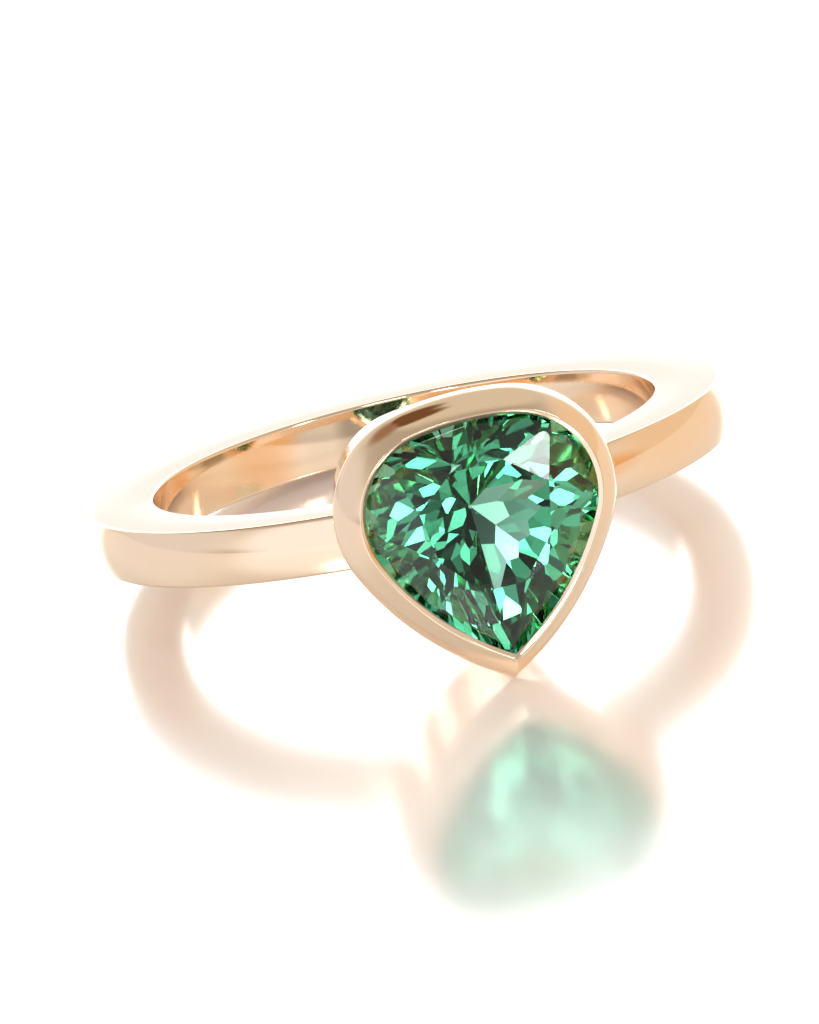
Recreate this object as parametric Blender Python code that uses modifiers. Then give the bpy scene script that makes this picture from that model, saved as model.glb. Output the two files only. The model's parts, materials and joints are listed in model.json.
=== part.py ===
"""A stackable gold ring: a low-domed band, a pear-shaped bezel soldered across it and a pear-cut stone.

Metres, +Z up. The ring is modelled about its finger axis, Z, with the head towards -Y and the pear's
tip pointing down, and is then laid on its side as it rests on a table: on the tip of the bezel and on
the band's lower edge at the back. A section's points are (outwards, height): outwards from the pear
outline of the lip, and height from the finger's axis out along the head.
"""

import math
from collections import namedtuple

import bmesh
import bpy
from mathutils import Vector

MM = 0.001

# Band
FINGER_DIAMETER = 17.0 * MM
BAND_WIDTH = 1.9 * MM
BAND_EDGE_THICKNESS = 2.1 * MM
BAND_DOME = 0.2 * MM
BAND_INNER_ROUND = 0.12 * MM
BAND_STEPS = 96
DOME_STEPS = 6
ROUND_STEPS = 3

# Pear outline of the lip: across the finger and along it, from the middle of the band
OPENING_HALF_WIDTH = 3.86 * MM
OPENING_TOP = 3.55 * MM
OPENING_TIP = 4.25 * MM
TOP_RADIUS = 10.0 * MM
SHOULDER_RADIUS = 2.65 * MM
SIDE_RADIUS = 9.3 * MM
ARC_STEPS = (5, 8, 7)

# Bezel
LIP_HEIGHT = 13.65 * MM
LIP_WIDTH = 0.17 * MM
LIP_FALL = 0.11 * MM
LIP_LAND = 0.04 * MM
RIM_WIDTH = 0.85 * MM
RIM_DROP = 1.3 * MM
RIM_BULGE = 0.1 * MM
RIM_STEPS = 5
RIM_EDGE_ROUND = 0.12 * MM
WALL_INSET = 0.72 * MM
WALL_THICKNESS = 0.7 * MM
FOOT_RELIEF = 0.1 * MM

# Stone and its seat
LIP_COVER = 0.22 * MM
SEAT_CLEARANCE = 0.05 * MM
GIRDLE_THICKNESS = 0.25 * MM
GIRDLE_SCALLOP = 0.12 * MM
CROWN_HEIGHT = 1.15 * MM
PAVILION_DEPTH = 4.1 * MM
CULET_LIFT = 0.05 * MM
CULET_ALONG = 0.35 * MM
TABLE_SHARE = 0.56
FACET_SECTORS = 8
STAR_SLOPE_SHARE = 0.62
UPPER_HALF_SLOPE_SHARE = 1.28
BEARING_WIDTH = 0.7 * MM

# Rows of facets under the girdle. A row's first facet lies this many facets from the tip. Its planes
# fall from a drop below the girdle, at the outline, to a depth below it, at the culet. Both are shares
# of the pavilion's depth, and every row is flatter than the one above it.
FacetRow = namedtuple("FacetRow", "per_sector first drop depth")
PAVILION_ROWS = (
    FacetRow(per_sector=2, first=0.5, drop=0.0, depth=1.27),
    FacetRow(per_sector=2, first=0.0, drop=0.055, depth=1.105),
    FacetRow(per_sector=2, first=0.5, drop=0.13, depth=1.03),
    FacetRow(per_sector=1, first=0.5, drop=0.2, depth=1.0),
)

# How far a helper solid runs past what it cuts, and how near a point lies to a cut to be on it
CUT_PAST = 0.4 * MM
ON_THE_CUT = 0.0002 * MM

# Followed by the sizes above
FINGER_RADIUS = FINGER_DIAMETER / 2
BAND_EDGE_RADIUS = FINGER_RADIUS + BAND_EDGE_THICKNESS
BAND_CROWN_RADIUS = BAND_EDGE_RADIUS + BAND_DOME
RELIEF_RADIUS = FINGER_RADIUS + FOOT_RELIEF
RIM_EDGE_HEIGHT = LIP_HEIGHT - RIM_DROP
WALL_SLOPE = WALL_INSET / (RIM_EDGE_HEIGHT - FINGER_RADIUS)
HEAD_HALF_WIDTH = OPENING_HALF_WIDTH + RIM_WIDTH
FOOT_HEIGHT = math.sqrt(RELIEF_RADIUS**2 - HEAD_HALF_WIDTH**2) - CUT_PAST


def clear_scene():
    for obj in list(bpy.data.objects):
        bpy.data.objects.remove(obj, do_unlink=True)


def add_collection(name):
    collection = bpy.data.collections.new(name)
    bpy.context.scene.collection.children.link(collection)
    return collection


def add_object(name, bm, collection, rest):
    mesh = bpy.data.meshes.new(name)
    bm.to_mesh(mesh)
    bm.free()
    obj = bpy.data.objects.new(name, mesh)
    obj.parent = rest
    collection.objects.link(obj)
    return obj


def make_helper(obj):
    obj.hide_render = True
    obj.display_type = "WIRE"
    return obj


def add_boolean(obj, operation, other):
    modifier = obj.modifiers.new(f"{operation.title()} {other.name}", "BOOLEAN")
    modifier.operation = operation
    modifier.object = other


def linear(channel):
    """A channel of an sRGB colour, 0 to 255, as the linear share that a shader takes."""
    share = channel / 255
    return share / 12.92 if share <= 0.04045 else ((share + 0.055) / 1.055) ** 2.4


def add_material(name, srgb, metallic, roughness):
    material = bpy.data.materials.new(name)
    material.use_nodes = True
    shader = material.node_tree.nodes["Principled BSDF"]
    colour = [linear(channel) for channel in srgb] + [1.0]
    shader.inputs["Base Color"].default_value = colour
    shader.inputs["Metallic"].default_value = metallic
    shader.inputs["Roughness"].default_value = roughness
    material.diffuse_color = colour
    return material


class Pear:
    """A pear outline of six tangent arcs, which can be pushed outwards by any distance."""

    def __init__(self):
        self.top_centre = Vector((0, OPENING_TOP - TOP_RADIUS))
        reach = TOP_RADIUS - SHOULDER_RADIUS
        across = OPENING_HALF_WIDTH - SHOULDER_RADIUS
        along = self.top_centre.y + math.sqrt(reach**2 - across**2)
        self.shoulder_centre = Vector((across, along))
        self.side_centre = self.find_side_centre(Vector((0, -OPENING_TIP)))

    def find_side_centre(self, tip):
        """The centre of the arc that touches the shoulder's arc and ends at the tip."""
        span = tip - self.shoulder_centre
        reach = SIDE_RADIUS - SHOULDER_RADIUS
        along = (reach**2 - SIDE_RADIUS**2 + span.length_squared) / (2 * span.length)
        beside = math.sqrt(reach**2 - along**2)
        ahead = span.normalized()
        inwards = Vector((ahead.y, -ahead.x))
        return self.shoulder_centre + ahead * along + inwards * beside

    def arcs(self, outwards):
        """(centre, radius, start angle, end angle) down the right half, from the top to the tip."""
        to_shoulder = self.shoulder_centre - self.top_centre
        to_side = self.shoulder_centre - self.side_centre
        shoulder_starts = math.atan2(to_shoulder.y, to_shoulder.x)
        side_starts = math.atan2(to_side.y, to_side.x)
        tip = -math.acos(-self.side_centre.x / (SIDE_RADIUS + outwards))
        return (
            (self.top_centre, TOP_RADIUS + outwards, math.pi / 2, shoulder_starts),
            (self.shoulder_centre, SHOULDER_RADIUS + outwards, shoulder_starts, side_starts),
            (self.side_centre, SIDE_RADIUS + outwards, side_starts, tip),
        )

    def points(self, outwards):
        """The closed outline from the middle of the top, with as many points at any distance."""
        right = []
        for (centre, radius, start, end), steps in zip(self.arcs(outwards), ARC_STEPS):
            for step in range(steps):
                angle = start + (end - start) * step / steps
                right.append(centre + radius * Vector((math.cos(angle), math.sin(angle))))
        centre, radius, _, end = self.arcs(outwards)[-1]
        tip = Vector((0, centre.y + radius * math.sin(end)))
        left = [Vector((-point.x, point.y)) for point in reversed(right[1:])]
        return right + [tip] + left

    def place(self, share, outwards):
        """The point at a share of the way round from the tip, and the direction out of it."""
        arcs = self.arcs(outwards)
        half = sum(radius * (start - end) for _, radius, start, end in arcs)
        side = 1 if share % 1 < 0.5 else -1
        to_go = 2 * half * min(share % 1, 1 - share % 1)
        for centre, radius, start, end in reversed(arcs):
            angle = min(start, end + to_go / radius)
            to_go -= radius * (start - end)
            if to_go <= 0:
                break
        out = Vector((side * math.cos(angle), math.sin(angle)))
        return Vector((side * centre.x, centre.y)) + radius * out, out


def head_point(flat, height):
    """A point across and along the head, at a height from the finger's axis, in the ring's frame."""
    return Vector((flat.x, -height, flat.y))


def round_corner(before, corner, after, radius):
    """The points of an arc that rounds off a corner between its two neighbours."""
    back = (before - corner).normalized()
    ahead = (after - corner).normalized()
    half_angle = back.angle(ahead) / 2
    centre = corner + (back + ahead).normalized() * radius / math.sin(half_angle)
    start = corner + back * radius / math.tan(half_angle) - centre
    end = corner + ahead * radius / math.tan(half_angle) - centre
    shares = [step / ROUND_STEPS for step in range(ROUND_STEPS + 1)]
    return [centre + start.lerp(end, share).normalized() * radius for share in shares]


def loft_round(pear, section, closed):
    """Sweeps a section round the pear. A closed section makes a hoop, an open one a capped solid."""
    bm = bmesh.new()
    hoops = []
    for outwards, height in section:
        hoops.append([bm.verts.new(head_point(flat, height)) for flat in pear.points(outwards)])
    pairs = list(zip(hoops, hoops[1:]))
    if closed:
        pairs.append((hoops[-1], hoops[0]))
    else:
        bm.faces.new(hoops[0])
        bm.faces.new(hoops[-1])
    for upper, lower in pairs:
        for here in range(len(upper)):
            after = (here + 1) % len(upper)
            bm.faces.new((upper[here], upper[after], lower[after], lower[here]))
    bmesh.ops.recalc_face_normals(bm, faces=bm.faces)
    return bm


def crown_slope(pear, share):
    """How steeply a main facet falls from the table to the girdle at this place of the outline."""
    point, out = pear.place(share, LIP_COVER)
    run = (point - Vector((0, CULET_ALONG))).dot(out) * (1 - TABLE_SHARE)
    return CROWN_HEIGHT / run


def pavilion_slope(pear, share, row):
    """How steeply a row's facet falls from the outline to the culet."""
    point, out = pear.place(share, LIP_COVER)
    return PAVILION_DEPTH * (row.depth - row.drop) / (point - Vector((0, CULET_ALONG))).dot(out)


def shares_round(per_sector, first):
    """The places of a row's facets round the outline from the tip, with none on the tip itself."""
    facets = per_sector * FACET_SECTORS
    return [(facet + first) / facets for facet in range(facets) if facet + first > 0]


def main_shares():
    return shares_round(1, 0.5)


def half_shares():
    """One on each side of every main facet."""
    return shares_round(2, 0.5)


class Seat:
    """The heights at which the lip and the bearing hold the stone."""

    def __init__(self, pear):
        crown_slopes = [crown_slope(pear, share) for share in half_shares()]
        self.roof_slope = UPPER_HALF_SLOPE_SHARE * max(crown_slopes)
        steepest = PAVILION_ROWS[0]
        steepest_shares = shares_round(steepest.per_sector, steepest.first)
        self.bearing_slope = max(pavilion_slope(pear, share, steepest) for share in steepest_shares)
        self.pocket_outwards = LIP_COVER + SEAT_CLEARANCE
        self.lip_edge = LIP_HEIGHT - LIP_FALL
        self.roof_inner = self.lip_edge - LIP_LAND
        self.roof_outer = self.roof_inner - self.pocket_outwards * self.roof_slope
        self.girdle_top = self.roof_outer - GIRDLE_SCALLOP
        self.girdle_bottom = self.girdle_top - GIRDLE_THICKNESS
        self.bearing_outer = self.girdle_bottom - GIRDLE_SCALLOP
        self.bearing_inner = self.bearing_outer - BEARING_WIDTH * self.bearing_slope
        self.table = self.girdle_top + CROWN_HEIGHT
        self.culet = self.girdle_bottom - PAVILION_DEPTH


def wall_outwards(height):
    """The outside of the bezel's wall, which draws in from the rim's edge towards the finger."""
    return RIM_WIDTH - WALL_SLOPE * (RIM_EDGE_HEIGHT - height)


def rim_face(crest, edge):
    """The gently bulging face of the rim, from its crest out to its edge."""
    across = edge - crest
    out = Vector((-across.y, across.x)).normalized()
    points = []
    for step in range(RIM_STEPS + 1):
        share = step / RIM_STEPS
        points.append(crest + across * share + out * 4 * RIM_BULGE * share * (1 - share))
    return points


def bezel_section(seat):
    crest = Vector((LIP_WIDTH, LIP_HEIGHT))
    edge = Vector((RIM_WIDTH, RIM_EDGE_HEIGHT))
    foot = Vector((wall_outwards(FOOT_HEIGHT), FOOT_HEIGHT))
    face = rim_face(crest, edge)
    outside = face[:-1] + round_corner(face[-2], edge, foot, RIM_EDGE_ROUND) + [foot]
    inside = (
        (foot.x - WALL_THICKNESS, FOOT_HEIGHT),
        (seat.pocket_outwards - BEARING_WIDTH, seat.bearing_inner),
        (seat.pocket_outwards, seat.bearing_outer),
        (seat.pocket_outwards, seat.roof_outer),
        (0.0, seat.roof_inner),
        (0.0, seat.lip_edge),
    )
    return outside + [Vector(point) for point in inside]


def add_finger_relief(helpers, rest):
    """The finger's cylinder, which shapes the bezel's foot to the inside of the band."""
    bm = bmesh.new()
    bmesh.ops.create_cone(
        bm,
        cap_ends=True,
        segments=BAND_STEPS,
        radius1=RELIEF_RADIUS,
        radius2=RELIEF_RADIUS,
        depth=4 * HEAD_HALF_WIDTH,
    )
    return make_helper(add_object("finger_relief", bm, helpers, rest))


def add_bezel(pear, seat, helpers, rest):
    bezel = add_object("bezel", loft_round(pear, bezel_section(seat), True), helpers, rest)
    add_boolean(bezel, "DIFFERENCE", add_finger_relief(helpers, rest))
    return make_helper(bezel)


def add_band_gap(pear, helpers, rest):
    """What is sawn out of the band, so that its two ends stop within the bezel's wall."""
    top = BAND_CROWN_RADIUS + CUT_PAST
    bottom = FOOT_HEIGHT - CUT_PAST
    section = [(wall_outwards(height) - WALL_THICKNESS / 2, height) for height in (top, bottom)]
    return make_helper(add_object("band_gap", loft_round(pear, section, False), helpers, rest))


def band_profile():
    """The band's section as (radius, z), down its domed outer side and back up the inside."""
    half = BAND_WIDTH / 2
    outer = []
    for step in range(DOME_STEPS + 1):
        across = 1 - 2 * step / DOME_STEPS
        outer.append(Vector((BAND_EDGE_RADIUS + BAND_DOME * (1 - across**2), half * across)))
    inner_bottom = Vector((FINGER_RADIUS, -half))
    inner_top = Vector((FINGER_RADIUS, half))
    bottom = round_corner(outer[-1], inner_bottom, inner_top, BAND_INNER_ROUND)
    top = round_corner(inner_bottom, inner_top, outer[0], BAND_INNER_ROUND)
    return outer + bottom + top


def add_band(collection, rest):
    """The full hoop, turned so that it meets the table along a side and not at a corner."""
    bm = bmesh.new()
    points = [bm.verts.new((radius, 0, z)) for radius, z in band_profile()]
    for here, after in zip(points, points[1:] + points[:1]):
        bm.edges.new((here, after))
    band = add_object("shank_and_bezel", bm, collection, rest)
    band.rotation_euler.z = math.pi / BAND_STEPS
    screw = band.modifiers.new("Turn", "SCREW")
    screw.axis = "Z"
    screw.steps = BAND_STEPS
    screw.render_steps = BAND_STEPS
    screw.use_smooth_shade = True
    return band


def add_shank_and_bezel(pear, seat, collection, helpers, rest):
    metal = add_band(collection, rest)
    add_boolean(metal, "DIFFERENCE", add_band_gap(pear, helpers, rest))
    add_boolean(metal, "UNION", add_bezel(pear, seat, helpers, rest))
    metal.data.materials.append(add_material("polished_gold", (238, 204, 160), 1.0, 0.12))
    return metal


def cut_facet(bm, flat, height, out, slope, up):
    """Cuts the rough with one plane through a point. It falls outwards, or for up = -1 rises."""
    geometry = bm.verts[:] + bm.edges[:] + bm.faces[:]
    cut = bmesh.ops.bisect_plane(
        bm,
        geom=geometry,
        dist=ON_THE_CUT,
        plane_co=head_point(flat, height),
        plane_no=head_point(out * slope, up).normalized(),
        clear_outer=True,
    )
    rim = [item for item in cut["geom_cut"] if isinstance(item, bmesh.types.BMEdge)]
    if rim:
        bmesh.ops.edgeloop_fill(bm, edges=rim)


def cut_crown(bm, pear, seat):
    centre = Vector((0, CULET_ALONG))
    cut_facet(bm, centre, seat.table, Vector((0, 0)), 0.0, 1)
    corners = []
    for share in main_shares():
        point, out = pear.place(share, LIP_COVER)
        cut_facet(bm, point, seat.girdle_top, out, crown_slope(pear, share), 1)
        corners.append(centre + (point - centre) * TABLE_SHARE)
    for share in half_shares():
        point, out = pear.place(share, LIP_COVER)
        slope = UPPER_HALF_SLOPE_SHARE * crown_slope(pear, share)
        cut_facet(bm, point, seat.girdle_top, out, slope, 1)
    for share, corner, following in zip(main_shares(), corners, corners[1:] + corners[:1]):
        edge = (following - corner).normalized()
        out = Vector((edge.y, -edge.x))
        slope = STAR_SLOPE_SHARE * crown_slope(pear, share + 0.5 / FACET_SECTORS)
        cut_facet(bm, corner, seat.table, out, slope, 1)


def cut_pavilion(bm, pear, seat):
    for row in PAVILION_ROWS:
        height = seat.girdle_bottom - PAVILION_DEPTH * row.drop
        for share in shares_round(row.per_sector, row.first):
            point, out = pear.place(share, LIP_COVER)
            cut_facet(bm, point, height, out, pavilion_slope(pear, share, row), -1)
    culet = Vector((0, CULET_ALONG))
    cut_facet(bm, culet, seat.culet + CULET_LIFT, Vector((0, 0)), 0.0, -1)


def add_stone(pear, seat, collection, rest):
    """A pear brilliant, cut plane by plane from a rough with the outline of its girdle."""
    rough = ((LIP_COVER, seat.table + CUT_PAST), (LIP_COVER, seat.culet - CUT_PAST))
    bm = loft_round(pear, rough, False)
    cut_crown(bm, pear, seat)
    cut_pavilion(bm, pear, seat)
    bmesh.ops.recalc_face_normals(bm, faces=bm.faces)
    stone = add_object("pear_stone", bm, collection, rest)
    stone.data.materials.append(add_material("green_tourmaline", (48, 140, 108), 0.0, 0.02))
    return stone


def ring_points(objects):
    """Every corner of these objects' finished meshes, in the frame that they are modelled in."""
    graph = bpy.context.evaluated_depsgraph_get()
    points = []
    for obj in objects:
        finished = obj.evaluated_get(graph)
        mesh = finished.to_mesh()
        points += [finished.matrix_world @ vertex.co for vertex in mesh.vertices]
        finished.to_mesh_clear()
    return points


def tilted(point, tilt):
    """The point's (y, z) after a turn about X that lifts the head."""
    cos = math.cos(tilt)
    sin = math.sin(tilt)
    return point.y * cos + point.z * sin, point.z * cos - point.y * sin


def rest_tilt(points):
    """The turn about X at which the head's lowest point is level with the back's, by halving."""
    low, high = 0.0, math.pi / 4
    head = [point for point in points if point.y < 0]
    back = [point for point in points if point.y >= 0]
    for _ in range(50):
        tilt = (low + high) / 2
        head_low = min(tilted(point, tilt)[1] for point in head)
        back_low = min(tilted(point, tilt)[1] for point in back)
        if head_low < back_low:
            low = tilt
        else:
            high = tilt
    return tilt


def lay_down(rest, objects):
    """Turns the ring on to its side, with its lowest points at z = 0 and its middle over the origin."""
    bpy.context.view_layer.update()
    points = ring_points(objects)
    tilt = rest_tilt(points)
    laid = [tilted(point, tilt) for point in points]
    across = [y for y, _ in laid]
    rest.rotation_euler.x = -tilt
    rest.location.y = -(min(across) + max(across)) / 2
    rest.location.z = -min(z for _, z in laid)


def main():
    clear_scene()
    collection = add_collection("stackable_ring")
    helpers = add_collection("cutters")
    rest = bpy.data.objects.new("rest_pose", None)
    collection.objects.link(rest)
    pear = Pear()
    seat = Seat(pear)
    metal = add_shank_and_bezel(pear, seat, collection, helpers, rest)
    stone = add_stone(pear, seat, collection, rest)
    lay_down(rest, (metal, stone))
    metal.data.set_sharp_from_angle(angle=math.radians(25))


main()
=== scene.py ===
# %% [markdown]
# # A stackable ring with a pear-cut stone
#
# The real ring is three things: a strip of gold bent to a hoop, a pear-shaped collar that is soldered
# across the hoop's gap, and a cut stone that the collar grips. A goldsmith makes them in that order,
# and this lesson does too, round a fixed model that already has every size. The first cell loads that
# model. The finished picture may not be larger than the model is.

# %% Load the model
import json
import math
from collections import namedtuple

import bmesh
import bpy
from mathutils import Matrix, Vector

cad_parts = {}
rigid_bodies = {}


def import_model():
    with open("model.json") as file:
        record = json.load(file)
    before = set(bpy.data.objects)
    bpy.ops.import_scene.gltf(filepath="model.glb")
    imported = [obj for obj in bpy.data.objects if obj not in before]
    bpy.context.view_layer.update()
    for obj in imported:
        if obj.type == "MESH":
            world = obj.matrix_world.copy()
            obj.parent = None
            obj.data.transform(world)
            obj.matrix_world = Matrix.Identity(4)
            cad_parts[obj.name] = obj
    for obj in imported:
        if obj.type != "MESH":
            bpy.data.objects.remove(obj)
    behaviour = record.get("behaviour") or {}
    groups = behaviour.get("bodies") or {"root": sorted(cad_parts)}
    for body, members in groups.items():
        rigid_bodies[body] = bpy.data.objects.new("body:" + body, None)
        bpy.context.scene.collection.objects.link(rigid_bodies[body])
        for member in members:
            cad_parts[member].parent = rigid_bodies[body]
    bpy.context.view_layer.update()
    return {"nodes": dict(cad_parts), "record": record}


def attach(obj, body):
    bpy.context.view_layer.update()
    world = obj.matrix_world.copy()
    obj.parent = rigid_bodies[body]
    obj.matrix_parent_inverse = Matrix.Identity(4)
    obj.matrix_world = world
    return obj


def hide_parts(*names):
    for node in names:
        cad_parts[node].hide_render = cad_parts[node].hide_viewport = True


for leftover in list(bpy.data.objects):
    bpy.data.objects.remove(leftover)

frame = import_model()
MM = 0.001
print("nodes:", sorted(frame["nodes"]))

# %% [markdown]
# ## The ring's own directions
#
# The ring lies on its side, so its finger axis leans a little. Everything is far easier to model
# upright, about that axis, and to lay down once at the end. The model's record states the band's two
# flat sides as mounts, one above the other at the back of the hoop. Their direction is the finger's
# axis, and the point between them is half a band's thickness from the finger hole, which gives the
# finger's centre. From here on, X runs across the head, -Y points out of it and Z is the finger's axis.

# %% Find the finger's centre and axis
FINGER_RADIUS = 8.5 * MM
BAND_EDGE_RADIUS = 10.6 * MM
BAND_CROWN_RADIUS = 10.8 * MM
BAND_HALF_WIDTH = 0.95 * MM
BAND_INNER_ROUND = 0.12 * MM

mounts = {mount["name"]: mount for mount in frame["record"]["mounts"]}
upper_side = mounts["stack_face_upper"]
lower_side = mounts["stack_face_lower"]
finger_axis = Vector(upper_side["axis"]).normalized()
across_head = Vector((1, 0, 0))
backwards = finger_axis.cross(across_head)
side_middle = (Vector(upper_side["pos_m"]) + Vector(lower_side["pos_m"])) / 2
side_radius = (FINGER_RADIUS + BAND_INNER_ROUND + BAND_EDGE_RADIUS) / 2
finger_centre = side_middle - backwards * side_radius
ring_turn = Matrix((across_head, backwards, finger_axis)).transposed()
ring_place = Matrix.Translation(finger_centre) @ ring_turn.to_4x4()
print("the finger's axis leans", round(math.degrees(finger_axis.angle(Vector((0, 0, 1)))), 2), "degrees")

# %% [markdown]
# ## The camera
#
# A jewellery photographer stands well back with a long lens, so that near and far parts keep their
# proportions. The three angles say how the ring is turned towards that lens: its near edge dips, it
# leans to one side, and its head is turned a little to the right. They are applied to the ring's own
# directions and then turned round, because here the ring stays put and the camera moves. The view is
# centred on the middle of what it sees, and the lens is as long as it takes to fill the frame.

# %% Place the camera
FRAME_WIDTH = 819
FRAME_HEIGHT = 1024
RING_DIPS = math.radians(10.83)
RING_LEANS = math.radians(-12.6)
HEAD_TURNS = math.radians(11.0)
CAMERA_DISTANCE = 524 * MM
RING_SHARE_OF_WIDTH = 0.78

seen_from = (
    Matrix.Rotation(RING_DIPS, 3, "X")
    @ Matrix.Rotation(RING_LEANS, 3, "Y")
    @ Matrix.Rotation(HEAD_TURNS, 3, "Z")
)
to_right, away, up = [ring_turn @ row for row in seen_from]

corners = [vertex.co - finger_centre for node in frame["nodes"].values() for vertex in node.data.vertices]
rightness = [corner.dot(to_right) for corner in corners]
upness = [corner.dot(up) for corner in corners]
seen_width = max(rightness) - min(rightness)
sideways = to_right * (max(rightness) + min(rightness)) / 2
upwards = up * (max(upness) + min(upness)) / 2

lens = bpy.data.cameras.new("long_lens")
frame_width_there = seen_width / RING_SHARE_OF_WIDTH
lens.lens = lens.sensor_width * CAMERA_DISTANCE / frame_width_there * FRAME_WIDTH / FRAME_HEIGHT
lens.clip_start = CAMERA_DISTANCE / 10
lens.clip_end = CAMERA_DISTANCE * 10
camera = bpy.data.objects.new("camera", lens)
camera_turn = Matrix((to_right, up, -away)).transposed().to_4x4()
camera_spot = finger_centre + sideways + upwards - away * CAMERA_DISTANCE
camera.matrix_world = Matrix.Translation(camera_spot) @ camera_turn
bpy.context.scene.collection.objects.link(camera)
bpy.context.scene.camera = camera
print("seen", round(seen_width / MM, 1), "mm wide, through a lens of", round(lens.lens), "mm")

# %% [markdown]
# ## Colours and nodes
#
# Colours are easiest to read as the hex values of a colour picker, but a shader counts light, so one
# function turns them into linear shares, by the screen's own curve. Node trees repeat the same three
# moves, which are adding a node, setting it and linking it, so another function does just those, and
# a last one starts each material. A Mix node has a set of sockets for each kind of value, and several
# share a name, so its colour sockets are called by number, and the numbers get their names here.

# %% Helpers for materials
MIX_FIRST_COLOUR = 6
MIX_SECOND_COLOUR = 7
MIX_COLOUR_OUT = 2


def linear_share(share):
    """The sRGB standard's own curve, from a share of full brightness on screen to a share of light."""
    if share <= 0.04045:
        return share / 12.92
    return ((share + 0.055) / 1.055) ** 2.4


def linear(hex_colour):
    """A hex sRGB colour as the linear red, green, blue and alpha that a shader takes."""
    shares = [int(hex_colour[start : start + 2], 16) / 255 for start in (0, 2, 4)]
    return [linear_share(share) for share in shares] + [1.0]


def add_node(tree, kind, values=None, links=None, **settings):
    """Adds a node with its settings, its input values and its links from other nodes' sockets."""
    node = tree.nodes.new(kind)
    for name, setting in settings.items():
        setattr(node, name, setting)
    for socket, value in (values or {}).items():
        node.inputs[socket].default_value = value
    for socket, source in (links or {}).items():
        tree.links.new(source, node.inputs[socket])
    return node


def new_material(name):
    """An empty material and its tree, with a Principled shader wired to the output."""
    material = bpy.data.materials.new(name)
    material.use_nodes = True
    tree = material.node_tree
    tree.nodes.clear()
    shader = add_node(tree, "ShaderNodeBsdfPrincipled")
    output = add_node(tree, "ShaderNodeOutputMaterial", links={"Surface": shader.outputs["BSDF"]})
    return material, tree, shader, output


# %% [markdown]
# ## Polished rose gold
#
# 18 carat rose gold is three quarters gold with copper and a little silver. Its colour is all in its
# reflections: a white card comes back as a pale peach, and where the metal sees itself the colour is
# multiplied again, up to a deep orange inside the band. So the base colour is the peach, with metallic
# at 1, and the deeper tones come by themselves. It was polished on a cloth wheel, which leaves an
# almost perfect mirror, so the roughness is low and wavers a little. The wheel's own marks are microns
# apart, too fine to show, so they are drawn as a grain of 0.08 mm, just coarse enough to be seen.

# %% Mix the gold
POLISH_GRAIN = 0.08 * MM
POLISH_GRAIN_DEPTH = 0.01 * MM
POLISH_PATCH = 2.5 * MM
POLISH_BEST = 0.03
POLISH_WORST = 0.09


def polished_rose_gold():
    material, tree, shader, _ = new_material("polished_rose_gold")
    place = add_node(tree, "ShaderNodeTexCoord")
    patches = add_node(
        tree,
        "ShaderNodeTexNoise",
        values={"Scale": 1 / POLISH_PATCH, "Detail": 2.0, "Roughness": 0.5},
        links={"Vector": place.outputs["Object"]},
    )
    colour = add_node(tree, "ShaderNodeMix", data_type="RGBA", links={"Factor": patches.outputs["Fac"]})
    colour.inputs[MIX_FIRST_COLOUR].default_value = linear("F7DDC1")
    colour.inputs[MIX_SECOND_COLOUR].default_value = linear("F5DABA")
    grain = add_node(
        tree,
        "ShaderNodeTexNoise",
        values={"Scale": 1 / POLISH_GRAIN, "Detail": 3.0, "Roughness": 0.6},
        links={"Vector": place.outputs["Object"]},
    )
    roughness = add_node(
        tree,
        "ShaderNodeMapRange",
        values={"From Min": 0.3, "From Max": 0.7, "To Min": POLISH_BEST, "To Max": POLISH_WORST},
        links={"Value": grain.outputs["Fac"]},
    )
    bump = add_node(
        tree,
        "ShaderNodeBump",
        values={"Strength": 0.03, "Distance": POLISH_GRAIN_DEPTH},
        links={"Height": grain.outputs["Fac"]},
    )
    shader.inputs["Metallic"].default_value = 1.0
    tree.links.new(colour.outputs[MIX_COLOUR_OUT], shader.inputs["Base Color"])
    tree.links.new(roughness.outputs["Result"], shader.inputs["Roughness"])
    tree.links.new(bump.outputs["Normal"], shader.inputs["Normal"])
    return material


gold = polished_rose_gold()
print("made", gold.name)

# %% [markdown]
# ## Green tourmaline
#
# A cut stone is clear: its colour is what is left of the light after a few millimetres of it. So the
# surface only bends light, with tourmaline's index of 1.63, and the colour is an absorption in the
# volume. A thin place is then pale and a long way through is deep green, as on the real stone. Its
# facets were polished on a lap, so they have no roughness, and a faint veil is all that is in the way.

# %% Grow the tourmaline
TOURMALINE_IOR = 1.63
ABSORPTION_PER_METRE = 250.0
VEIL_PATCH = 1.5 * MM


def green_tourmaline():
    material, tree, shader, output = new_material("green_tourmaline")
    place = add_node(tree, "ShaderNodeTexCoord")
    veil = add_node(
        tree,
        "ShaderNodeTexNoise",
        values={"Scale": 1 / VEIL_PATCH, "Detail": 3.0},
        links={"Vector": place.outputs["Object"]},
    )
    tint = add_node(tree, "ShaderNodeMix", data_type="RGBA", links={"Factor": veil.outputs["Fac"]})
    tint.inputs[MIX_FIRST_COLOUR].default_value = linear("FFFFFF")
    tint.inputs[MIX_SECOND_COLOUR].default_value = linear("EAF9F3")
    shader.inputs["Transmission Weight"].default_value = 1.0
    shader.inputs["IOR"].default_value = TOURMALINE_IOR
    shader.inputs["Roughness"].default_value = 0.0
    tree.links.new(tint.outputs[MIX_COLOUR_OUT], shader.inputs["Base Color"])
    absorption = add_node(tree, "ShaderNodeVolumeAbsorption", values={"Density": ABSORPTION_PER_METRE})
    absorption.inputs["Color"].default_value = linear("60E0C0")
    tree.links.new(absorption.outputs["Volume"], output.inputs["Volume"])
    return material


tourmaline = green_tourmaline()
print("made", tourmaline.name)

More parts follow.
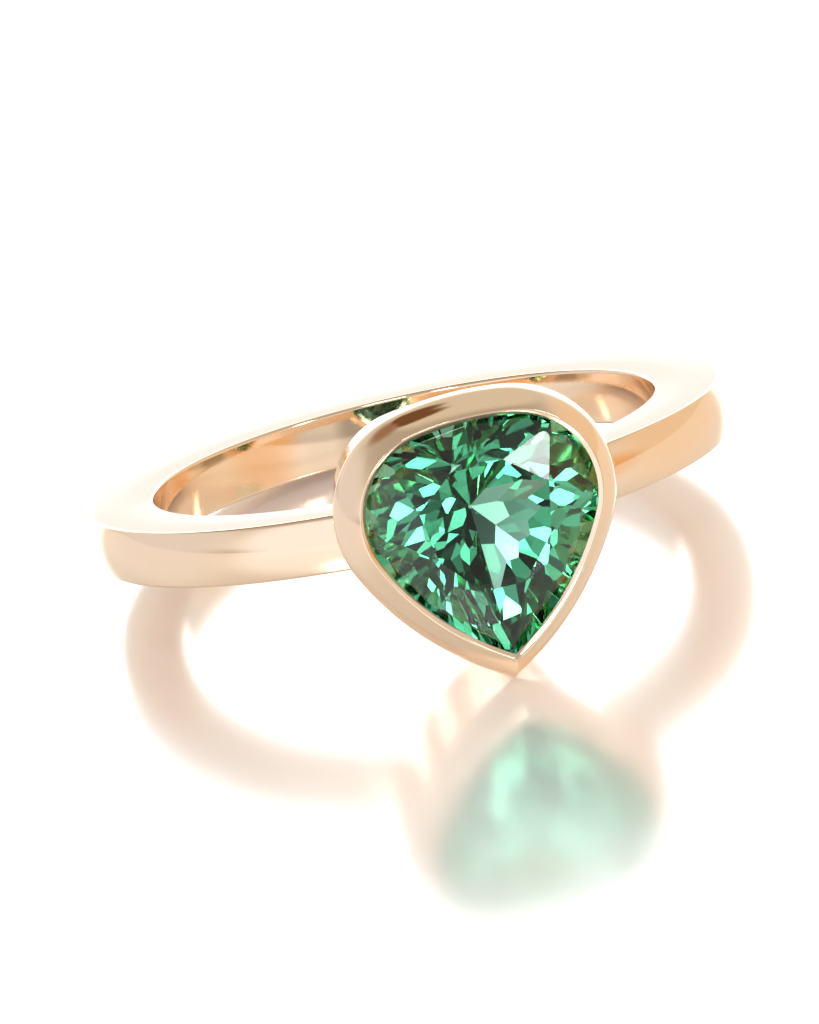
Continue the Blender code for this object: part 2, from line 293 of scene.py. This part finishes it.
# %% [markdown]
# ## The band's section
#
# The hoop is a strip of gold, 1.9 mm wide and 2.1 mm thick, bent round the finger. Its outside is a
# low dome, its sides are flat so that rings stack closely, and its edges are broken with a file. A
# section like that is a short list of corners, each with the radius that the file left, and one
# function turns the corners into arcs.

# %% Draw the band's section
DOME_STEPS = 16
CORNER_STEPS = 5
BAND_OUTER_ROUND = 0.13 * MM


def round_corner(before, corner, after, radius):
    """The points of an arc that rounds off a corner between its two neighbours."""
    back = (before - corner).normalized()
    ahead = (after - corner).normalized()
    half_angle = back.angle(ahead) / 2
    centre = corner + (back + ahead).normalized() * radius / math.sin(half_angle)
    start = corner + back * radius / math.tan(half_angle) - centre
    end = corner + ahead * radius / math.tan(half_angle) - centre
    shares = [step / CORNER_STEPS for step in range(CORNER_STEPS + 1)]
    return [centre + start.lerp(end, share).normalized() * radius for share in shares]


def round_section(corners):
    """A closed section from its (corner, radius) pairs. A corner with no radius stays a point."""
    points = []
    for here, (corner, radius) in enumerate(corners):
        before = corners[here - 1][0]
        after = corners[(here + 1) % len(corners)][0]
        points += round_corner(before, corner, after, radius) if radius else [corner]
    return points


def band_section():
    """(radius, z) down the domed outside and back up the finger's side."""
    dome = BAND_CROWN_RADIUS - BAND_EDGE_RADIUS
    corners = []
    for step in range(DOME_STEPS + 1):
        across = 1 - 2 * step / DOME_STEPS
        point = Vector((BAND_EDGE_RADIUS + dome * (1 - across**2), BAND_HALF_WIDTH * across))
        corners.append((point, BAND_OUTER_ROUND if abs(across) == 1 else 0))
    corners.append((Vector((FINGER_RADIUS, -BAND_HALF_WIDTH)), BAND_INNER_ROUND))
    corners.append((Vector((FINGER_RADIUS, BAND_HALF_WIDTH)), BAND_INNER_ROUND))
    return round_section(corners)


print("the band's section has", len(band_section()), "points")

# %% [markdown]
# ## The pear
#
# The head's outline is a pear: a flat arc across the top, a tight arc round each shoulder and a long
# arc down each side to a point. Neighbouring arcs share a tangent, so the outline has no kink but the
# point. Pushing an arc outwards only lengthens its radius, which is how one outline gives the lip, the
# rim and the wall, each a set distance outside the last.

# %% Draw the pear
OPENING_HALF_WIDTH = 3.86 * MM
OPENING_TOP = 3.55 * MM
OPENING_TIP = 4.25 * MM
TOP_RADIUS = 10.0 * MM
SHOULDER_RADIUS = 2.65 * MM
SIDE_RADIUS = 9.3 * MM
ARC_STEPS = (16, 32, 36)

top_centre = Vector((0, OPENING_TOP - TOP_RADIUS))
shoulder_across = OPENING_HALF_WIDTH - SHOULDER_RADIUS
shoulder_rise = math.sqrt((TOP_RADIUS - SHOULDER_RADIUS) ** 2 - shoulder_across**2)
shoulder_centre = Vector((shoulder_across, top_centre.y + shoulder_rise))
tip_from_shoulder = Vector((0, -OPENING_TIP)) - shoulder_centre
side_reach = SIDE_RADIUS - SHOULDER_RADIUS
ahead = tip_from_shoulder.normalized()
along = (side_reach**2 - SIDE_RADIUS**2 + tip_from_shoulder.length_squared) / (2 * tip_from_shoulder.length)
beside = math.sqrt(side_reach**2 - along**2)
side_centre = shoulder_centre + ahead * along + Vector((ahead.y, -ahead.x)) * beside


def angle_of(vector):
    return math.atan2(vector.y, vector.x)


def pear_arcs(outwards):
    """(centre, radius, start angle, end angle) down the right half, from the top to the tip."""
    shoulder_starts = angle_of(shoulder_centre - top_centre)
    side_starts = angle_of(shoulder_centre - side_centre)
    tip = -math.acos(-side_centre.x / (SIDE_RADIUS + outwards))
    return (
        (top_centre, TOP_RADIUS + outwards, math.pi / 2, shoulder_starts),
        (shoulder_centre, SHOULDER_RADIUS + outwards, shoulder_starts, side_starts),
        (side_centre, SIDE_RADIUS + outwards, side_starts, tip),
    )


def pear_point(column, outwards):
    """A column is (arc, share of the arc, side of the head)."""
    arc, share, side = column
    centre, radius, start, end = pear_arcs(outwards)[arc]
    angle = start + (end - start) * share
    point = centre + radius * Vector((math.cos(angle), math.sin(angle)))
    return Vector((side * point.x, point.y))


def pear_columns():
    """The columns round the whole pear, from the middle of the top, by the right, the tip and the left."""
    right = [(arc, step / steps, 1) for arc, steps in enumerate(ARC_STEPS) for step in range(steps)]
    left = [(arc, share, -1) for arc, share, _ in reversed(right[1:])]
    return right + [(len(ARC_STEPS) - 1, 1.0, 1)] + left


def outwards_of(flat):
    """How far outside the pear a point beside the head is."""
    beside_head = Vector((abs(flat.x), flat.y))
    for centre, radius, start, end in pear_arcs(0):
        reach = beside_head - centre
        if end <= angle_of(reach) <= start:
            return reach.length - radius
    return math.inf


pear_length = OPENING_TOP + OPENING_TIP
print("the pear is", round(2 * OPENING_HALF_WIDTH / MM, 2), "by", round(pear_length / MM, 2), "mm")

# %% [markdown]
# ## The bezel
#
# The collar that grips the stone is called a bezel. From its crest a thin lip turns in over the
# stone's edge, and a broad face slopes outwards and bulges slightly, so that a bright line runs round
# it. Below the rim the wall draws in towards the finger, where its foot is filed to the curve of the
# hoop. Its back is open, to let light into the stone. The wall is a loft: the same section goes round
# the pear in many columns, and in each the foot ends where the finger's cylinder cuts it.

# %% Build the bezel
LIP_HEIGHT = 13.65 * MM
LIP_WIDTH = 0.17 * MM
LIP_FALL = 0.11 * MM
LIP_LAND = 0.04 * MM
LIP_ROUND = 0.05 * MM
RIM_WIDTH = 0.85 * MM
RIM_DROP = 1.3 * MM
RIM_BULGE = 0.12 * MM
RIM_STEPS = 12
RIM_EDGE_ROUND = 0.14 * MM
WALL_INSET = 0.72 * MM
WALL_THICKNESS = 0.7 * MM
FOOT_RELIEF = 0.02 * MM
FOOT_ROUND = 0.1 * MM
POCKET_OUTWARDS = 0.27 * MM
ROOF_DROP = 0.26 * MM
POCKET_DEPTH = 0.49 * MM
BEARING_WIDTH = 0.7 * MM
BEARING_DROP = 1.06 * MM
FOOT_ROUNDS = 20

rim_edge_height = LIP_HEIGHT - RIM_DROP
roof_inner = LIP_HEIGHT - LIP_FALL - LIP_LAND
roof_outer = roof_inner - ROOF_DROP
bearing_outer = roof_outer - POCKET_DEPTH
bearing_inner = bearing_outer - BEARING_DROP
bearing_edge = POCKET_OUTWARDS - BEARING_WIDTH


def wall_outwards(height):
    """The outside of the wall at a height from the finger's axis."""
    return RIM_WIDTH - WALL_INSET * (rim_edge_height - height) / (rim_edge_height - FINGER_RADIUS)


def hollow_outwards(height):
    """The inside of the wall, which runs straight from the bearing to the foot."""
    foot_inside = wall_outwards(FINGER_RADIUS) - WALL_THICKNESS
    fallen = (bearing_inner - height) / (bearing_inner - FINGER_RADIUS)
    return bearing_edge + (foot_inside - bearing_edge) * fallen


def foot(column, surface):
    """Where a surface of the wall, given as outwards by height, ends on the finger's cylinder."""
    height = FINGER_RADIUS
    for _ in range(FOOT_ROUNDS):
        flat = pear_point(column, surface(height))
        height = math.sqrt((FINGER_RADIUS + FOOT_RELIEF) ** 2 - flat.x**2)
    return Vector((surface(height), height))


def rim_face():
    """The bulging face from the crest to the edge, without its two ends."""
    crest = Vector((LIP_WIDTH, LIP_HEIGHT))
    fall = Vector((RIM_WIDTH, rim_edge_height)) - crest
    out = Vector((-fall.y, fall.x)).normalized()
    shares = [step / RIM_STEPS for step in range(1, RIM_STEPS)]
    return [(crest + fall * share + out * 4 * RIM_BULGE * share * (1 - share), 0) for share in shares]


def bezel_section(column):
    """(outwards, height) down the outside of the wall and back up its inside."""
    crest = [(Vector((LIP_WIDTH, LIP_HEIGHT)), LIP_ROUND)]
    outside = [
        (Vector((RIM_WIDTH, rim_edge_height)), RIM_EDGE_ROUND),
        (foot(column, wall_outwards), FOOT_ROUND),
    ]
    inside = [
        (foot(column, hollow_outwards), FOOT_ROUND),
        (Vector((bearing_edge, bearing_inner)), LIP_ROUND),
        (Vector((POCKET_OUTWARDS, bearing_outer)), 0),
        (Vector((POCKET_OUTWARDS, roof_outer)), 0),
        (Vector((0, roof_inner)), 0),
        (Vector((0, LIP_HEIGHT - LIP_FALL)), LIP_LAND / 2),
    ]
    return round_section(crest + rim_face() + outside + inside)


def skin(rows, round_trip):
    """Joins rows of points with quads into one closed body. Rows may meet in a round trip or be capped."""
    bm = bmesh.new()
    made = [[bm.verts.new(point) for point in row] for row in rows]
    pairs = list(zip(made, made[1:]))
    if round_trip:
        pairs.append((made[-1], made[0]))
    else:
        bm.faces.new(made[0])
        bm.faces.new(made[-1])
    for one, other in pairs:
        for here in range(len(one)):
            after = (here + 1) % len(one)
            bm.faces.new((one[here], one[after], other[after], other[here]))
    bmesh.ops.recalc_face_normals(bm, faces=bm.faces)
    return bm


SHARP_EDGE = math.radians(32)


def add_metal(name, bm):
    """A piece of gold, laid down from the ring's own directions and smooth but for its sharp edges."""
    bm.transform(ring_place)
    mesh = bpy.data.meshes.new(name)
    bm.to_mesh(mesh)
    bm.free()
    mesh.shade_smooth()
    mesh.set_sharp_from_angle(angle=SHARP_EDGE)
    mesh.materials.append(gold)
    piece = bpy.data.objects.new(name, mesh)
    bpy.context.scene.collection.objects.link(piece)
    weights = piece.modifiers.new("Flat faces lead the shading", "WEIGHTED_NORMAL")
    weights.keep_sharp = True
    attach(piece, "root")
    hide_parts("shank_and_bezel")
    print(name, "has", len(mesh.polygons), "faces")


bezel_rows = []
for column in pear_columns():
    row = []
    for outwards, height in bezel_section(column):
        flat = pear_point(column, outwards)
        row.append(Vector((flat.x, -height, flat.y)))
    bezel_rows.append(row)
add_metal("pear_bezel", skin(bezel_rows, True))

# %% [markdown]
# ## The band
#
# The hoop's two ends butt into the bezel's wall. Every line of the section is followed round the
# finger until it is halfway into the wall, so the cut ends are never seen. A halving search finds that
# angle, which works for any pear.

# %% Bend the band
BAND_COLUMNS = 360
HALVINGS = 40


def angle_at_wall(radius, z, depth):
    """The angle from the head at which a line of the band is this deep in the bezel's wall."""
    low, high = 0.0, math.pi / 3
    for _ in range(HALVINGS):
        middle = (low + high) / 2
        flat = Vector((radius * math.sin(middle), z))
        if outwards_of(flat) < wall_outwards(radius * math.cos(middle)) - depth:
            low = middle
        else:
            high = middle
    return middle


def band_rows():
    section = band_section()
    starts = [angle_at_wall(radius, z, WALL_THICKNESS / 2) for radius, z in section]
    rows = []
    for column in range(BAND_COLUMNS + 1):
        row = []
        for (radius, z), start in zip(section, starts):
            angle = start + 2 * (math.pi - start) * column / BAND_COLUMNS
            row.append(Vector((radius * math.sin(angle), -radius * math.cos(angle), z)))
        rows.append(row)
    return rows


add_metal("polished_band", skin(band_rows(), False))

# %% [markdown]
# ## The stone
#
# The model's stone is already cut plane by plane, as a pear brilliant is, so its shape stays and it
# only gets the tourmaline. Its facets are flat, and each has one normal.

# %% Set the stone
stone = frame["nodes"]["pear_stone"]
stone.material_slots[0].material = tourmaline
print("the stone has", len(stone.data.polygons), "triangles")

# %% [markdown]
# ## The table
#
# The ring lies on a light table of half-silvered white acrylic. Part of the light scatters in the white
# sheet, part comes back as from a hazy mirror, and a faint glow comes from lamps below it. So the ring
# gets a soft second image that is clearest where they touch and fades into white further off, and its
# shadow stays pale. In the shader that is a colour near white, the silver share as metallic, a
# roughness that wavers over a few millimetres, as rolled sheet does, and a low emission.

# %% Lay the table
TABLE_SIZE = 1.0
SILVER_SHARE = 0.6
GLOW_FROM_BELOW = 0.1
HAZE_PATCH = 4 * MM
HAZE_LEAST = 0.17
HAZE_MOST = 0.23


def half_silvered_acrylic():
    material, tree, shader, _ = new_material("half_silvered_acrylic")
    place = add_node(tree, "ShaderNodeTexCoord")
    haze = add_node(
        tree,
        "ShaderNodeTexNoise",
        values={"Scale": 1 / HAZE_PATCH, "Detail": 2.0},
        links={"Vector": place.outputs["Object"]},
    )
    roughness = add_node(
        tree,
        "ShaderNodeMapRange",
        values={"To Min": HAZE_LEAST, "To Max": HAZE_MOST},
        links={"Value": haze.outputs["Fac"]},
    )
    shader.inputs["Base Color"].default_value = linear("FAFAFA")
    shader.inputs["Metallic"].default_value = SILVER_SHARE
    shader.inputs["Emission Color"].default_value = linear("FBFCFF")
    shader.inputs["Emission Strength"].default_value = GLOW_FROM_BELOW
    tree.links.new(roughness.outputs["Result"], shader.inputs["Roughness"])
    return material


bm = bmesh.new()
bmesh.ops.create_grid(bm, x_segments=1, y_segments=1, size=TABLE_SIZE / 2)
table_mesh = bpy.data.meshes.new("acrylic_table")
bm.to_mesh(table_mesh)
bm.free()
table_mesh.materials.append(half_silvered_acrylic())
table = bpy.data.objects.new("acrylic_table", table_mesh)
bpy.context.scene.collection.objects.link(table)
print("the light table is", TABLE_SIZE, "m wide")

# %% [markdown]
# ## The tent
#
# Polished gold has no look of its own: it shows what stands round it. A jewellery photographer hangs a
# tent of white cloth round the ring, pins cards to it and looks in through a hole. The cloth is whitest
# at the walls and duller at the seam on the table and overhead. Over it lie round patches, each with
# its direction, the angle over which it is even, the angle at which it has faded out, a colour and a
# strength, and later ones lie over earlier ones. The bright backdrop whitens the table behind the
# ring, its duller foot shows in the band's flat side, the cream and orange cards warm the right of the
# rim and the inside of the hoop, and the gap in the ceiling draws the brown wedge on the rim. A ray's
# nearness to a patch's middle is the dot product of their two directions.

# %% Hang the tent
towards_camera = Vector((-away.x, -away.y, 0)).normalized()
room_right = towards_camera.cross(Vector((0, 0, -1)))


def room_direction(azimuth, elevation):
    """A direction in the room: azimuth 0 is behind the ring, 90 to the right and 180 at the camera."""
    turn = math.radians(azimuth)
    rise = math.radians(elevation)
    level = room_right * math.sin(turn) - towards_camera * math.cos(turn)
    return level * math.cos(rise) + Vector((0, 0, math.sin(rise)))


WALL_STARTS = 0.14
ROOF_STARTS = 0.95

world = bpy.data.worlds.new("light_tent")
world.use_nodes = True
tree = world.node_tree
tree.nodes.clear()
where = add_node(tree, "ShaderNodeTexCoord")
height = add_node(tree, "ShaderNodeSeparateXYZ", links={"Vector": where.outputs["Generated"]})
cloth = add_node(tree, "ShaderNodeValToRGB", links={"Fac": height.outputs["Z"]})
cloth.color_ramp.interpolation = "EASE"
seam, wall = cloth.color_ramp.elements
seam.position, seam.color = 0.0, linear("D8D4D0")
wall.position, wall.color = WALL_STARTS, linear("FAF7F4")
roof = cloth.color_ramp.elements.new(ROOF_STARTS)
roof.color = linear("BDB6AE")
light_so_far = cloth.outputs["Color"]

Patch = namedtuple("Patch", "name azimuth elevation even_degrees whole_degrees colour strength")
TENT_PATCHES = (
    Patch("backdrop", 0, 2, 50, 75, "FFFFFF", 3.0),
    Patch("foot of the backdrop", 0, 0, 20, 34, "FFF9FF", 1.22),
    Patch("left wall", -75, 12, 30, 70, "F6F4FA", 0.94),
    Patch("front left wall", -138, 14, 30, 64, "F2F5FF", 1.3),
    Patch("cream card", 66, 4, 30, 92, "FBE2C4", 0.97),
    Patch("orange card", 112, -4, 14, 52, "F4BC7C", 1.0),
    Patch("ceiling", 12, 55, 40, 64, "E1DBCE", 1.0),
    Patch("shade beside the gap", -36, 51, 6, 36, "A08068", 1.0),
    Patch("gap in the ceiling", -13, 61, 12, 20, "7A563C", 1.0),
    Patch("lower end of the gap", -12, 50, 12, 20, "7A563C", 1.0),
    Patch("hole for the lens", 168, 2, 20, 40, "AEAAA4", 1.0),
)
for patch in TENT_PATCHES:
    nearness = add_node(
        tree,
        "ShaderNodeVectorMath",
        operation="DOT_PRODUCT",
        values={1: room_direction(patch.azimuth, patch.elevation)},
        links={0: where.outputs["Generated"]},
    )
    share = add_node(
        tree,
        "ShaderNodeMapRange",
        interpolation_type="SMOOTHSTEP",
        values={
            "From Min": math.cos(math.radians(patch.whole_degrees / 2)),
            "From Max": math.cos(math.radians(patch.even_degrees / 2)),
        },
        links={"Value": nearness.outputs["Value"]},
    )
    over = add_node(
        tree,
        "ShaderNodeMix",
        data_type="RGBA",
        links={"Factor": share.outputs["Result"], MIX_FIRST_COLOUR: light_so_far},
    )
    patch_light = [channel * patch.strength for channel in linear(patch.colour)]
    over.inputs[MIX_SECOND_COLOUR].default_value = patch_light
    light_so_far = over.outputs[MIX_COLOUR_OUT]
print("the tent has", len(TENT_PATCHES), "patches")

# %% [markdown]
# ## What the stone sees
#
# A cut stone gathers light from all over the room and gives it back in dozens of small pieces. In an
# even tent they would all be the same green, and the stone would look like moulded glass. A real
# sitting is less tidy: there are lamps and dark gaps all round the table. So the light that has gone
# through the stone finds a room of its own, soft lamps scattered on a dark ground. A noise over the
# directions gives the lamps, a narrow range of it makes their edges, and a power keeps their middles
# bright. The gold and the table, which reflect and don't transmit, still see the tent.

# %% Light the room for the stone
LAMPS_PER_ROOM = 4.0
LAMP_STARTS = 0.47
LAMP_WHOLE = 0.64
ROOM_DARK = 0.2
ROOM_CONTRAST = 3.0
ROOM_BRIGHT = 1.9

spots = add_node(
    tree,
    "ShaderNodeTexNoise",
    values={"Scale": LAMPS_PER_ROOM, "Detail": 1.5, "Roughness": 0.6},
    links={"Vector": where.outputs["Generated"]},
)
lamps = add_node(
    tree,
    "ShaderNodeMapRange",
    values={"From Min": LAMP_STARTS, "From Max": LAMP_WHOLE, "To Min": ROOM_DARK, "To Max": ROOM_BRIGHT},
    links={"Value": spots.outputs["Fac"]},
)
room = add_node(
    tree,
    "ShaderNodeMath",
    operation="POWER",
    values={1: ROOM_CONTRAST},
    links={0: lamps.outputs["Result"]},
)
path = add_node(tree, "ShaderNodeLightPath")
seen = add_node(
    tree,
    "ShaderNodeMix",
    data_type="RGBA",
    links={
        "Factor": path.outputs["Is Transmission Ray"],
        MIX_FIRST_COLOUR: light_so_far,
        MIX_SECOND_COLOUR: room.outputs["Value"],
    },
)
tent = add_node(tree, "ShaderNodeBackground", links={"Color": seen.outputs[MIX_COLOUR_OUT]})
add_node(tree, "ShaderNodeOutputWorld", links={"Surface": tent.outputs["Background"]})
bpy.context.scene.world = world
brightest = ROOM_BRIGHT**ROOM_CONTRAST
print("the lamps in the stone's room reach", round(brightest, 1), "times white")

# %% [markdown]
# ## The softboxes
#
# Three narrow softboxes stand on the camera's side, where the facets and the rim's bulge turn their
# light back as small hard glints. Each stands almost a metre away and looks at the ring.

# %% Add the softboxes
SOFTBOX_DISTANCE = 0.9
SOFTBOX_POWER = 0.8


def add_softbox(name, azimuth, elevation, size):
    """A soft light that looks at the ring from a direction in the room."""
    light = bpy.data.lights.new(name, "AREA")
    light.shape = "RECTANGLE"
    light.size, light.size_y = size
    light.energy = SOFTBOX_POWER
    softbox = bpy.data.objects.new(name, light)
    toward = room_direction(azimuth, elevation)
    softbox.location = finger_centre + toward * SOFTBOX_DISTANCE
    softbox.rotation_euler = toward.to_track_quat("Z", "Y").to_euler()
    bpy.context.scene.collection.objects.link(softbox)


add_softbox("front_softbox_left", -150, 40, (0.12, 0.3))
add_softbox("front_softbox_right", 130, 35, (0.1, 0.25))
add_softbox("front_softbox_high", 175, 62, (0.25, 0.1))
print("and", len(bpy.data.lights), "softboxes")

# %% [markdown]
# ## How the light is shown
#
# The standard view keeps whites white, as a picture for a shop does. Light goes back and forth many
# times inside a stone before it finds its way out, so it is followed for up to 32 bounces. Between
# gold and gold a dozen are enough.

# %% Show the light as it is
STONE_BOUNCES = 32
GOLD_BOUNCES = 12

bpy.context.scene.view_settings.view_transform = "Standard"
bpy.context.scene.cycles.max_bounces = STONE_BOUNCES
bpy.context.scene.cycles.transmission_bounces = STONE_BOUNCES
bpy.context.scene.cycles.glossy_bounces = GOLD_BOUNCES
print("light is followed for", STONE_BOUNCES, "bounces")
